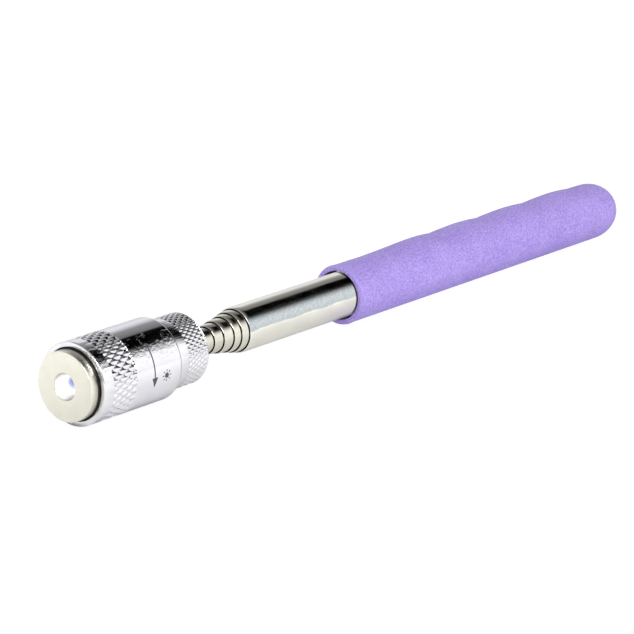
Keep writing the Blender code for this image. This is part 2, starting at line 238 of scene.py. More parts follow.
def lathe(name, outline, sides=FINE_SIDES, relief=None, sharp_angle=SHARP_ANGLE, hollow_shade=None):
    """Body of revolution from (radius, behind) points.

    The relief adds to the radius, and the shade function marks painted shade in hollows from 0 to 1.
    """
    outline = np.array(outline)
    angles = 2 * math.pi * np.arange(sides) / sides
    radius = np.repeat(outline[:, :1], sides, axis=1)
    behind = np.repeat(outline[:, 1:], sides, axis=1)
    angle = np.repeat(angles[None, :], len(outline), axis=0)
    hollow = None if hollow_shade is None else hollow_shade(radius, behind, angle)
    if relief is not None:
        radius = radius + relief(radius, behind, angle)
    mesh = grid_mesh(name, on_axis(radius, behind, angle), outline[0, 0] > 0.0)
    if hollow is not None:
        shade = mesh.attributes.new("hollow_shade", "FLOAT", "POINT")
        shade.data.foreach_set("value", hollow.astype(float).ravel())
    return finish_mesh(name, mesh, sharp_angle)


def arc(radius, behind, size, start, end, steps):
    """Outline points on an arc about (radius, behind); 0 degrees is outward, 90 forward."""
    points = []
    for step in range(steps + 1):
        angle = math.radians(start + (end - start) * step / steps)
        points.append((radius + size * math.cos(angle), behind - size * math.sin(angle)))
    return points


def rows(radius, start, end, spacing):
    """Evenly spaced outline points along a straight stretch."""
    count = max(1, round(abs(end - start) / spacing))
    return [(radius, start + (end - start) * step / count) for step in range(count + 1)]


def smooth_step(value):
    value = np.clip(value, 0.0, 1.0)
    return value * value * (3 - 2 * value)


def knurl_waves(knurl, behind, angle):
    """Height along each of the two families of crossing grooves, 0 in a groove."""
    turn = knurl["around"] * (angle - knurl["turned"]) / (2 * math.pi)
    along = (behind - knurl["crossing"]) / knurl["length"]
    return np.abs(np.sin(math.pi * (turn + along))), np.abs(np.sin(math.pi * (turn - along)))


def knurl_fade(knurl, radius, behind):
    """1 on the knurled part of the outside, fading out at both its ends."""
    rise = smooth_step((behind - knurl["start"]) / KNURL_EDGE)
    fall = smooth_step((knurl["end"] - behind) / KNURL_EDGE)
    return np.where(radius > knurl["radius"] - TINY, rise * fall, 0.0)


def knurl_relief(knurl):
    """Rounded diamonds between the grooves."""
    def relief(radius, behind, angle):
        first, second = knurl_waves(knurl, behind, angle)
        pillow = (first * second) ** DIAMOND_ROUNDNESS
        return -knurl["depth"] * (1 - pillow) * knurl_fade(knurl, radius, behind)
    return relief


def knurl_pit_shade(knurl, radius, behind, angle):
    """Painted shade in the pits where the grooves cross, on the upper side only."""
    first, second = knurl_waves(knurl, behind, angle)
    upper_side_shade = smooth_step((np.sin(angle) - PIT_SHADE_LOWEST) / PIT_SHADE_RISE)
    pits = smooth_step(1 - (first ** 2 + second ** 2) / PIT_SIZE)
    return pits * knurl_fade(knurl, radius, behind) * upper_side_shade


# ---------------------------------------------------------------- materials

def start_material(name, values):
    material = bpy.data.materials.new(name)
    material.use_nodes = True
    shader = material.node_tree.nodes["Principled BSDF"]
    for socket, value in values.items():
        shader.inputs[socket].default_value = value
    return material, shader


def node(material, kind, **settings):
    made = material.node_tree.nodes.new(kind)
    for key, value in settings.items():
        setattr(made, key, value)
    return made


def link(material, source, target):
    material.node_tree.links.new(source, target)


def noise_value(material, size, stretch=(1.0, 1.0, 1.0), detail=3.0, roughness=0.5):
    """Noise with features about `size` metres across, longer along the stretched axes."""
    place = node(material, "ShaderNodeTexCoord")
    mapping = node(material, "ShaderNodeMapping")
    mapping.inputs["Scale"].default_value = [1.0 / (size * factor) for factor in stretch]
    grain = node(material, "ShaderNodeTexNoise")
    grain.inputs["Scale"].default_value = 1.0
    grain.inputs["Detail"].default_value = detail
    grain.inputs["Roughness"].default_value = roughness
    link(material, place.outputs["Object"], mapping.inputs["Vector"])
    link(material, mapping.outputs["Vector"], grain.inputs["Vector"])
    return grain.outputs["Fac"]


def ramp(material, value, stops):
    """Colour ramp through (position, colour) stops."""
    made = node(material, "ShaderNodeValToRGB")
    elements = made.color_ramp.elements
    while len(elements) < len(stops):
        elements.new(0.5)
    for element, (position, colour) in zip(elements, stops):
        element.position = position
        element.color = (*colour, 1.0)
    link(material, value, made.inputs["Fac"])
    return made.outputs["Color"]


def in_range(material, value, low, high, to_low, to_high):
    """The value's place between low and high, as a place between to_low and to_high."""
    made = node(material, "ShaderNodeMapRange")
    made.inputs["From Min"].default_value = low
    made.inputs["From Max"].default_value = high
    made.inputs["To Min"].default_value = to_low
    made.inputs["To Max"].default_value = to_high
    link(material, value, made.inputs["Value"])
    return made.outputs["Result"]


def combine(material, operation, first, second):
    """Math node on two values, each a socket or a number."""
    made = node(material, "ShaderNodeMath", operation=operation)
    for socket, value in zip(made.inputs, (first, second)):
        if isinstance(value, float):
            socket.default_value = value
        else:
            link(material, value, socket)
    return made.outputs["Value"]


def bump(material, height, distance, before=None):
    """Normal bumped by a height, on top of an earlier one."""
    made = node(material, "ShaderNodeBump")
    made.inputs["Strength"].default_value = 1.0
    made.inputs["Distance"].default_value = distance
    link(material, height, made.inputs["Height"])
    if before is not None:
        link(material, before, made.inputs["Normal"])
    return made.outputs["Normal"]


def object_place(material):
    """The object's coordinates, as outputs X, Y and Z."""
    place = node(material, "ShaderNodeTexCoord")
    split = node(material, "ShaderNodeSeparateXYZ")
    link(material, place.outputs["Object"], split.inputs["Vector"])
    return split.outputs


def side_angle(material):
    """Angle round the tool's axis in degrees."""
    place = object_place(material)
    height = combine(material, "SUBTRACT", place["Z"], AXIS_Z)
    radians = combine(material, "ARCTAN2", height, place["Y"])
    return combine(material, "MULTIPLY", radians, math.degrees(1.0))


def mix_colour(material, share, first, second):
    """First colour, or the second where share is 1."""
    made = node(material, "ShaderNodeMix", data_type="RGBA")
    # The node's colour sockets share their names with its other kinds, so they go by number
    colour_a, colour_b, result = made.inputs[6], made.inputs[7], made.outputs[2]
    link(material, share, made.inputs["Factor"])
    link(material, first, colour_a)
    link(material, second, colour_b)
    return result


def painted_hollow_shade(material, colour, darkest):
    """Painted shade: darkens a colour where the mesh marks a deep hollow."""
    hollow = node(material, "ShaderNodeAttribute", attribute_name="hollow_shade")
    made = node(material, "ShaderNodeVectorMath", operation="SCALE")
    link(material, colour, made.inputs[0])
    link(material, in_range(material, hollow.outputs["Fac"], 0.0, 1.0, 1.0, darkest), made.inputs["Scale"])
    return made.outputs["Vector"]


def side_band(material, start, end, soft, ragged):
    """1 between two angles round the axis, with soft edges outside them that wander by `ragged`."""
    drift = noise_value(material, 2.4 * MM, (1.6, 1.0, 1.0), 3.0)
    wander = in_range(material, drift, 0.3, 0.7, -ragged, ragged)
    angle = combine(material, "ADD", side_angle(material), wander)
    rise = in_range(material, angle, start - soft, start, 0.0, 1.0)
    fall = in_range(material, angle, end, end + soft, 1.0, 0.0)
    return combine(material, "MULTIPLY", rise, fall)


def plated_metal(name, light, dark, roughness, worn=None):
    """Plating with faint clouding, hairline scratches along the tool, a scuffed side and painted shade in
    its hollows.
    """
    material, shader = start_material(name, {"Metallic": 1.0, "Specular Tint": (0.74, 0.74, 0.76, 1.0)})
    colour = ramp(material, noise_value(material, 4.0 * MM, (2.0, 1.0, 1.0)), [(0.30, dark), (0.70, light)])
    hairlines = noise_value(material, 0.12 * MM, (60.0, 1.0, 1.0), 2.0)
    smears = noise_value(material, 1.6 * MM, (3.0, 1.0, 1.0), 4.0)
    rough = in_range(material, combine(material, "MULTIPLY", hairlines, smears), 0.10, 0.42, *roughness)
    normal = bump(material, hairlines, 0.0005 * MM)
    normal = bump(material, noise_value(material, 0.9 * MM, (1.6, 1.0, 1.0), 2.0), 0.003 * MM, normal)
    if worn is not None:
        band = side_band(material, worn["from"], worn["to"], worn["soft"], worn["ragged"])
        if "front_to" in worn:
            wide = side_band(material, worn["from"], worn["front_to"], worn["soft"], worn["ragged"])
            along = object_place(material)["X"]
            end = RIM_X - worn["front_length"]
            near = in_range(material, along, end - 0.3 * MM, end + 0.3 * MM, 0.0, 1.0)
            band = combine(material, "MAXIMUM", band, combine(material, "MULTIPLY", wide, near))
        spots = noise_value(material, worn["size"], (1.4, 1.0, 1.0), 2.0, 0.6)
        normal = bump(material, combine(material, "MULTIPLY", spots, band), worn["depth"], normal)
        tone = ramp(material, spots, [(0.35, worn["dull"]), (0.65, worn["pale"])])
        colour = mix_colour(material, band, colour, tone)
    # Painted shade, nearly black, where the mesh marks hollows
    link(material, painted_hollow_shade(material, colour, 0.03), shader.inputs["Base Color"])
    link(material, rough, shader.inputs["Roughness"])
    link(material, normal, shader.inputs["Normal"])
    return material


def plain_metal(name, light, dark, roughness):
    """Machined or drawn metal inside the tool."""
    material, shader = start_material(name, {"Metallic": 1.0})
    clouds = noise_value(material, 1.5 * MM)
    link(material, ramp(material, clouds, [(0.3, dark), (0.7, light)]), shader.inputs["Base Color"])
    marks = noise_value(material, 0.35 * MM, (0.2, 1.0, 1.0))
    link(material, in_range(material, marks, 0.3, 0.7, *roughness), shader.inputs["Roughness"])
    link(material, bump(material, marks, 0.006 * MM), shader.inputs["Normal"])
    return material


def moulded(name, light, dark, roughness):
    """Moulded plastic or rubber with a fine surface."""
    material, shader = start_material(name, {"Metallic": 0.0, "IOR": 1.47})
    clouds = noise_value(material, 2.5 * MM)
    link(material, ramp(material, clouds, [(0.3, dark), (0.7, light)]), shader.inputs["Base Color"])
    pores = noise_value(material, 0.4 * MM)
    link(material, in_range(material, pores, 0.3, 0.7, *roughness), shader.inputs["Roughness"])
    link(material, bump(material, pores, 0.01 * MM), shader.inputs["Normal"])
    return material


def vinyl():
    """Dipped vinyl: pebbled skin with painted highlights on its peaks and painted shade in its creases."""
    values = {"Metallic": 0.0, "IOR": 1.45, "Specular IOR Level": 0.24}
    material, shader = start_material("grip_vinyl", values)
    pebbles = noise_value(material, 0.46 * MM, (1.0, 1.0, 1.0), 3.0, 0.65)
    blotches = noise_value(material, 7.0 * MM, (1.6, 1.0, 1.0), 2.0)
    # Painted highlights on the pebbles' peaks and painted shade in their creases, mixed with blotches of the
    # vinyl's own tone
    pebble_shade_and_blotches = combine(material, "ADD", combine(material, "MULTIPLY", pebbles, 0.82),
                    combine(material, "MULTIPLY", blotches, 0.18))
    stops = [(0.34, (0.245, 0.166, 0.515)), (0.49, (0.318, 0.236, 0.605)), (0.62, (0.400, 0.325, 0.690))]
    colour = ramp(material, pebble_shade_and_blotches, stops)
    # Painted shade in the grip's bore
    link(material, painted_hollow_shade(material, colour, 0.10), shader.inputs["Base Color"])
    link(material, in_range(material, pebbles, 0.3, 0.7, 0.66, 0.48), shader.inputs["Roughness"])
    fine = noise_value(material, 0.22 * MM, (1.0, 1.0, 1.0), 3.0, 0.6)
    normal = bump(material, pebbles, 0.10 * MM)
    normal = bump(material, fine, 0.03 * MM, normal)
    link(material, normal, shader.inputs["Normal"])
    return material


def lit_lens():
    """The lamp's lens glows white, with painted lavender shade in three patches of its glow."""
    values = {"Roughness": 0.12, "IOR": 1.5, "Emission Strength": 1.0, "Base Color": (0.30, 0.31, 0.36, 1.0)}
    material, shader = start_material("lamp_lens_glow", values)
    place = node(material, "ShaderNodeTexCoord")
    flat = node(material, "ShaderNodeVectorMath", operation="MULTIPLY")
    flat.inputs[1].default_value = (0.0, 1.0, 1.0)
    link(material, place.outputs["Object"], flat.inputs[0])
    ripple = combine(material, "MULTIPLY", noise_value(material, 1.1 * MM, detail=2.0), 0.5 * MM)
    colour = ramp(material, ripple, [(0.0, (1.45, 1.45, 1.55)), (1.0, (1.55, 1.55, 1.65))])
    # Painted lavender shade: where each patch sits (across, up in mm), its core and halo colours and its
    # reach
    shades = [
        ((0.56, 1.40), (0.24, 0.25, 0.44), (0.38, 0.40, 0.62), 1.55),
        ((1.18, 0.54), (0.24, 0.25, 0.44), (0.38, 0.40, 0.62), 1.90),
        ((-0.50, -1.80), (0.24, 0.23, 0.42), (0.40, 0.39, 0.62), 1.15),
    ]
    for (across, up), core, halo, reach in shades:
        apart = node(material, "ShaderNodeVectorMath", operation="DISTANCE")
        apart.inputs[1].default_value = (0.0, across * MM, AXIS_Z + up * MM)
        link(material, flat.outputs["Vector"], apart.inputs[0])
        edge = combine(material, "ADD", apart.outputs["Value"], ripple)
        share = in_range(material, edge, 0.2 * MM, (reach + 0.3) * MM, 0.0, 1.0)
        tint = ramp(material, share, [(0.15, core), (0.55, halo), (1.0, (1.0, 1.0, 1.0))])
        both = node(material, "ShaderNodeVectorMath", operation="MULTIPLY")
        link(material, colour, both.inputs[0])
        link(material, tint, both.inputs[1])
        colour = both.outputs["Vector"]
    link(material, colour, shader.inputs["Emission Color"])
    return material


def ink():
    """Black printing ink, paler where it is rubbed."""
    material, shader = start_material("printed_ink", {"Metallic": 0.0})
    wear = noise_value(material, 0.35 * MM, detail=4.0)
    stops = [(0.35, (0.018, 0.018, 0.020)), (0.75, (0.075, 0.075, 0.080))]
    link(material, ramp(material, wear, stops), shader.inputs["Base Color"])
    link(material, in_range(material, wear, 0.3, 0.7, 0.35, 0.55), shader.inputs["Roughness"])
    return material


# ---------------------------------------------------------------- pieces

def put(piece, body, slot, material, *nodes):
    """Gives a piece its material and body, and hides the CAD nodes it stands for; its slot is not used."""
    piece.data.materials.append(material)
    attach(piece, body)
    if nodes:
        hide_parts(*nodes)
    return piece


def make_barrel(material):
    knurl = BARREL_KNURL
    edge = POCKET_EDGE
    outline = arc(POCKET_RADIUS + edge, edge, edge, 180, 90, 6)
    outline += arc(BARREL_RADIUS - RIM_ROUNDING, RIM_ROUNDING, RIM_ROUNDING, 78, 0, 10)
    outline += rows(BARREL_RADIUS, knurl["start"], knurl["end"], knurl["length"] / knurl["steps"])
    outline += rows(BARREL_RADIUS, knurl["end"] + 0.3 * MM, BARREL_SHOULDER - 0.3 * MM, 2.0 * MM)
    corner = BARREL_END - BARREL_SHOULDER
    outline += arc(BARREL_RADIUS - corner, BARREL_SHOULDER, corner, 0, -84, 12)
    outline += [
        (THREAD_BORE_RADIUS + 0.2 * MM, BARREL_END),
        (THREAD_BORE_RADIUS, BARREL_END - 0.2 * MM),
        (THREAD_BORE_RADIUS, THREAD_BORE_START),
        (BATTERY_BORE_RADIUS, THREAD_BORE_START),
        (BATTERY_BORE_RADIUS, WEB_END),
        (WEB_HOLE_RADIUS, WEB_END),
        (WEB_HOLE_RADIUS, POCKET_DEPTH),
        (POCKET_RADIUS, POCKET_DEPTH),
    ]
    sides = knurl["around"] * knurl["steps"]

    def hollows(radius, behind, angle):
        """Painted shade in the pocket behind the rim, along the rear edge and in the knurl's pits."""
        pocket = (radius < POCKET_RADIUS + TINY) & (behind > edge / 2)
        rear_edge = 0.3 * smooth_step((behind - BARREL_SHOULDER) / (0.3 * MM))
        return np.maximum(np.maximum(pocket, rear_edge), knurl_pit_shade(knurl, radius, behind, angle))

    barrel = lathe("knurled_barrel", outline, sides, knurl_relief(knurl), hollow_shade=hollows)
    put(barrel, "head", "barrel_chrome", material, "head_barrel")


def make_cap(material):
    knurl = CAP_KNURL
    edge = 0.25 * MM
    crest_radius = SPIGOT_RADIUS - 0.02 * MM
    root_radius = SPIGOT_RADIUS - THREAD_DEPTH
    outline = [(SPIGOT_RADIUS - 2 * THREAD_DEPTH, SPIGOT_START)]
    for turn in range(THREAD_TURNS):
        crest = SPIGOT_START + (turn + 1) * THREAD_PITCH
        outline += [(crest_radius, crest - 0.08 * MM), (crest_radius, crest + 0.08 * MM)]
        outline += [(root_radius, crest + 0.46 * MM), (root_radius, crest + 0.54 * MM)]
    groove_radius = SPIGOT_RADIUS - O_RING_GROOVE_DEPTH
    groove_start = O_RING_PLACE - O_RING_GROOVE_WIDTH / 2
    groove_end = O_RING_PLACE + O_RING_GROOVE_WIDTH / 2
    outline += [
        (SPIGOT_RADIUS, groove_start),
        (groove_radius, groove_start),
        (groove_radius, groove_end),
        (SPIGOT_RADIUS, groove_end),
        (SPIGOT_RADIUS, CAP_SHOULDER),
    ]
    outline += arc(CAP_RADIUS - edge, CAP_SHOULDER + edge, edge, 90, 0, 5)
    outline += rows(CAP_RADIUS, knurl["start"], knurl["end"], knurl["length"] / knurl["steps"])
    outline += arc(CAP_RADIUS - CAP_BEVEL, CAP_END - CAP_BEVEL, CAP_BEVEL, 0, -80, 8)
    tube_hole = radius_of("tube_1") + 0.3 * MM
    outline += [
        (tube_hole + 0.15 * MM, CAP_END),
        (tube_hole, CAP_END - 0.15 * MM),
        (tube_hole, CAP_FLOOR_END),
        (SCREW_HOLE_RADIUS, CAP_FLOOR_END),
        (SCREW_HOLE_RADIUS, CAVITY_END),
        (CAVITY_RADIUS, CAVITY_END),
        (CAVITY_RADIUS, SPIGOT_START),
    ]
    sides = knurl["around"] * knurl["steps"]

    # Painted shade in the knurl's pits
    def hollows(radius, behind, angle):
        return knurl_pit_shade(knurl, radius, behind, angle)

    cap = lathe("knurled_cap", outline, sides, knurl_relief(knurl), hollow_shade=hollows)
    put(cap, "section_1", "cap_chrome", material, "rear_cap")


def make_magnet(magnet_material, cup_material, lens_material):
    edge = MAGNET_HOLE_EDGE
    outline = arc(MAGNET_HOLE_RADIUS + edge, MAGNET_FACE + edge, edge, 180, 90, 6)
    edge = MAGNET_EDGE
    outline += arc(MAGNET_RADIUS - edge, MAGNET_FACE + edge, edge, 90, 0, 8)
    edge = MAGNET_BACK_EDGE
    outline += arc(MAGNET_RADIUS - edge, MAGNET_BACK - edge, edge, 0, -90, 3)
    outline += [(MAGNET_HOLE_RADIUS, MAGNET_BACK)]

    def sunk_side_shade(radius, behind, angle):
        """Painted shade on the magnet's side, where it stands in the cup."""
        near_rim = smooth_step((behind + 0.20 * MM) / (0.25 * MM))
        return near_rim * (radius > MAGNET_RADIUS - 0.3 * MM)

    magnet = lathe("nickel_magnet", outline, hollow_shade=sunk_side_shade)
    put(magnet, "head", "magnet_nickel", magnet_material, "ring_magnet")

    front = front_of("magnet_seat")
    back = rear_of("magnet_seat")
    inner = CUP_RADIUS - CUP_WALL
    floor_top = MAGNET_BACK + 0.3 * MM
    outline = arc(CUP_RADIUS - CUP_WALL / 2, front + CUP_WALL / 2, CUP_WALL / 2, 180, 0, 8)
    outline += [(CUP_RADIUS, back), (CUP_HOLE_RADIUS, back)]
    outline += [(CUP_HOLE_RADIUS, floor_top), (inner, floor_top)]
    cup = lathe("magnet_cup", outline)
    put(cup, "head", "cup_steel", cup_material, "magnet_seat")

    flange_front = LAMP_END - LAMP_FLANGE_LENGTH
    outline = [(0.0, LAMP_TIP)]
    outline += arc(0.0, LAMP_TIP + LAMP_RADIUS, LAMP_RADIUS, 86, 0, 14)
    outline += [(LAMP_RADIUS, flange_front), (LAMP_FLANGE_RADIUS, flange_front)]
    outline += [(LAMP_FLANGE_RADIUS, LAMP_END), (0.0, LAMP_END)]
    lamp = lathe("lamp_lens", outline, 96)
    put(lamp, "head", "lamp_clear", lens_material, "led_lamp")


def tube_node(section):
    return "outer_tube" if section == SECTION_COUNT else f"tube_{section}"


def make_tubes(outer_material, inner_material):
    for section in range(1, SECTION_COUNT + 1):
        name = tube_node(section)
        outer = radius_of(name)
        inner = outer - TUBE_WALL
        front = front_of(name)
        rear = rear_of(name)
        if section == 1:
            outline = rows(outer, front, rear, 8.0 * MM) + [(inner, rear), (inner, front)]
            shell = lathe(f"{name}_shell", outline)
        else:
            mouth = radius_of(tube_node(section - 1)) + LIP_CLEARANCE
            outline = [(mouth, front + LIP_ROUNDING)]
            for step in range(LIP_STEPS + 1):
                angle = math.pi / 2 * step / LIP_STEPS
                rise = (outer - mouth - LIP_ROUNDING) * math.sin(angle)
                back = LIP_TAPER * (1 - math.cos(angle))
                outline.append((mouth + LIP_ROUNDING + rise, front + back))
            outline += rows(outer, front + LIP_TAPER + 0.3 * MM, GRIP_MOUTH, 8.0 * MM)
            outline += rows(outer, GRIP_MOUTH + 0.3 * MM, rear, 8.0 * MM)
            outline += [
                (inner - REAR_LIP_DEPTH, rear),
                (inner - REAR_LIP_DEPTH, rear - REAR_LIP_LENGTH),
                (inner, rear - REAR_LIP_LENGTH),
                (inner, front + LIP_LENGTH),
                (mouth, front + 0.7 * LIP_LENGTH),
            ]

            def inside(radius, behind, angle):
                """Painted shade inside the rolled lip, and where the grip covers the outer tube."""
                in_mouth = (radius < mouth + TINY) & (behind > front + 0.03 * MM)
                in_grip = behind > GRIP_MOUTH + 0.2 * MM
                return in_mouth | in_grip if section == SECTION_COUNT else in_mouth

            shell = lathe(f"{name}_shell", outline, hollow_shade=inside)
        if section == SECTION_COUNT:
            put(shell, "handle", "outer_tube_nickel", outer_material, name)
        else:
            put(shell, f"section_{section}", "section_nickel", inner_material, name)


def swell_height(behind):
    """Height of the finger swells' crest above the round grip."""
    def rise(fraction, lean):
        return np.clip(np.sin(math.pi * np.clip(fraction, 0.0, 1.0) ** lean), 0.0, 1.0) ** SWELL_FULLNESS
    first = (behind - FIRST_SWELL) / (FIRST_GROOVE - FIRST_SWELL)
    fingers = (behind - FIRST_GROOVE) / FINGER_PITCH
    last_groove = FIRST_GROOVE + (GROOVE_COUNT - 1) * FINGER_PITCH
    remaining = np.clip((GRIP_END - behind) / (GRIP_END - last_groove), 0.0, 1.0)
    return np.select(
        [first <= 0.0, first <= 1.0, fingers <= GROOVE_COUNT - 1],
        [
            np.zeros_like(behind),
            GROOVE_HEIGHT * first + SWELL_HEIGHT * rise(first, 2.2),
            GROOVE_HEIGHT + SWELL_HEIGHT * rise(np.mod(fingers, 1.0), 1.3),
        ],
        GROOVE_HEIGHT * np.sqrt(remaining),
    )


def pebble(radius, behind, angle):
    """Fine pebbled skin, as a height for each point of the grip's outside."""
    places = on_axis(radius, behind, angle).reshape(-1, 3)
    coarse = 1.0 / PEBBLE_SIZE
    heights = [noise.noise(Vector(place) * coarse) for place in places.tolist()]
    return np.array(heights).reshape(radius.shape)


def mould_marks(behind, angle):
    """Small raised marks beside the finger swells, as a share of their height."""
    height = np.zeros_like(behind)
    for place, turned in MOULD_MARKS:
        along = (behind - place) / MOULD_MARK_LENGTH
        across = GRIP_RADIUS * (angle - math.radians(turned)) / MOULD_MARK_WIDTH
        height += np.exp(-(along ** 2 + across ** 2) ** 2)
    return height


def grip_relief(radius, behind, angle):
    outside = radius > MOUTH_BORE_RADIUS + GRIP_LIP
    outside |= behind > GRIP_BORE_END + 0.3 * MM
    facing_up = np.clip(np.sin(angle), 0.0, 1.0) ** SWELL_NARROWNESS
    fade = np.minimum(radius / GRIP_RADIUS, 1.0)
    height = swell_height(behind) * facing_up * fade
    height = height + PEBBLE_HEIGHT * pebble(radius, behind, angle) * fade
    height = height + MOULD_MARK_HEIGHT * mould_marks(behind, angle)
    return np.where(outside, height, 0.0)


def make_grip(material):
    outline = [(0.0, GRIP_END)]
    dome_start = GRIP_END - GRIP_DOME_LENGTH
    for step in range(1, GRIP_DOME_STEPS):
        angle = math.pi / 2 * (1 - step / GRIP_DOME_STEPS)
        outline.append((GRIP_RADIUS * math.cos(angle), dome_start + GRIP_DOME_LENGTH * math.sin(angle)))
    flare_start = GRIP_MOUTH + MOUTH_FLARE_LENGTH
    outline += rows(GRIP_RADIUS, dome_start, flare_start, GRIP_SPACING)
    for _, behind in rows(0.0, flare_start - GRIP_SPACING, GRIP_MOUTH + GRIP_LIP, GRIP_SPACING):
        share = (flare_start - behind) / (MOUTH_FLARE_LENGTH - GRIP_LIP)
        outline.append((GRIP_RADIUS + MOUTH_FLARE * share ** 2, behind))
    flared = GRIP_RADIUS + MOUTH_FLARE
    outline += arc(flared - GRIP_LIP, GRIP_MOUTH + GRIP_LIP, GRIP_LIP, 8, 90, 8)
    edge = MOUTH_BORE_EDGE
    outline += arc(MOUTH_BORE_RADIUS + edge, GRIP_MOUTH + edge, edge, 90, 180, 4)
    outline += [
        (MOUTH_BORE_RADIUS, GRIP_MOUTH + MOUTH_BORE_DEPTH - GRIP_LIP),
        (GRIP_BORE_RADIUS, GRIP_MOUTH + MOUTH_BORE_DEPTH),
        (GRIP_BORE_RADIUS, GRIP_BORE_END),
        (0.0, GRIP_BORE_END),
    ]

    # Painted shade in the grip's bore
    def bore_shade(radius, behind, angle):
        in_bore = (behind > GRIP_MOUTH + 0.1 * MM) & (behind < GRIP_BORE_END + 0.1 * MM)
        return in_bore & (radius < MOUTH_BORE_RADIUS + 0.05 * MM)

    grip = lathe("vinyl_grip", outline, GRIP_SIDES, grip_relief, sharp_angle=60, hollow_shade=bore_shade)
    grip.visible_glossy = False
    put(grip, "handle", "grip_vinyl", material, "grip")


def printed_patch(name, outline, behind):
    """Thin printed shape wrapped on the barrel: outline of (along, round) points in metres."""
    mesh = bpy.data.meshes.new(name)
    work = bmesh.new()
    corners = [work.verts.new((along, turn, 0.0)) for along, turn in outline]
    work.faces.new(corners)
    bmesh.ops.triangulate(work, faces=work.faces)
    for _ in range(5):
        long_edges = [edge for edge in work.edges if edge.calc_length() > PRINT_LONGEST_EDGE]
        if not long_edges:
            break
        bmesh.ops.subdivide_edges(work, edges=long_edges, cuts=1)
        bmesh.ops.triangulate(work, faces=work.faces)
    made = bmesh.ops.extrude_face_region(work, geom=list(work.faces))
    for item in made["geom"]:
        if isinstance(item, bmesh.types.BMVert):
            item.co.z += PRINT_THICKNESS
    for vertex in work.verts:
        along, turn, lift = vertex.co
        angle = turn / BARREL_RADIUS
        radius = BARREL_RADIUS + lift - PRINT_THICKNESS / 2
        vertex.co = on_axis(radius, behind + along, angle)
    work.to_mesh(mesh)
    work.free()
    return finish_mesh(name, mesh)


def make_prints(material):
    """The arrow that shows which way the head turns on, and a small lamp sign."""
    tail = math.radians(46.0) * BARREL_RADIUS
    neck = math.radians(-3.5) * BARREL_RADIUS
    tip = math.radians(-17.0) * BARREL_RADIUS
    half_line = 0.17 * MM
    half_head = 0.92 * MM
    arrow = [(-half_line, tail), (half_line, tail), (half_line, neck), (half_head, neck), (0.0, tip),
             (-half_head, neck), (-half_line, neck)]
    shapes = {"turn_arrow": (arrow, ARROW_PLACE)}

    middle = math.radians(SIGN_ANGLE) * BARREL_RADIUS
    bulb = 0.62 * MM
    disc_angles = [2 * math.pi * step / SIGN_DISC_SIDES for step in range(SIGN_DISC_SIDES)]
    disc = [(bulb * math.cos(angle), middle + bulb * math.sin(angle)) for angle in disc_angles]
    shapes["lamp_sign_disc"] = (disc, SIGN_PLACE)
    for ray in range(SIGN_RAYS):
        angle = 2 * math.pi * ray / SIGN_RAYS
        outward = Vector((math.cos(angle), math.sin(angle)))
        across = Vector((-outward.y, outward.x)) * 0.11 * MM
        start = outward * 0.88 * MM
        end = outward * 1.38 * MM
        corners = [start - across, end - across, end + across, start + across]
        outline = [(corner.x, middle + corner.y) for corner in corners]
        shapes[f"lamp_sign_ray_{ray + 1}"] = (outline, SIGN_PLACE)

    for name, (outline, behind) in shapes.items():
        put(printed_patch(name, outline, behind), "head", "barrel_chrome", material)


def finish_inner_parts():
    """Gives each CAD piece that stays a material of its own kind."""
    brass = plain_metal("turned_brass", (0.80, 0.62, 0.32), (0.68, 0.50, 0.24), (0.22, 0.38))
    steel = plain_metal("bright_steel", (0.66, 0.66, 0.67), (0.55, 0.55, 0.57), (0.20, 0.34))
    spring = plain_metal("spring_steel_drawn", (0.50, 0.50, 0.52), (0.38, 0.38, 0.40), (0.26, 0.42))
    rubber = moulded("black_rubber", (0.022, 0.022, 0.023), (0.012, 0.012, 0.013), (0.55, 0.75))
    plastic = moulded("white_moulding", (0.84, 0.84, 0.82), (0.76, 0.76, 0.74), (0.38, 0.55))
    finishes = {
        "end_plug": plastic, "tip_insert": brass, "cap_screw": steel, "lock_washer": spring,
        "contact_spring": spring, "o_ring": rubber, "battery_sleeve": plastic, "contact_disc": brass,
        "led_holder": plastic, "led_anode_pin": brass, "led_cathode_clip": brass,
    }
    for number in range(1, SECTION_COUNT):
        finishes[f"collar_{number}"] = brass
        finishes[f"friction_spring_{number}"] = spring
    for number in range(1, CELL_COUNT + 1):
        finishes[f"battery_cell_{number}"] = steel
    for name, finish in finishes.items():
        for slot in frame["nodes"][name].material_slots:
            slot.material = finish


# ---------------------------------------------------------------- studio

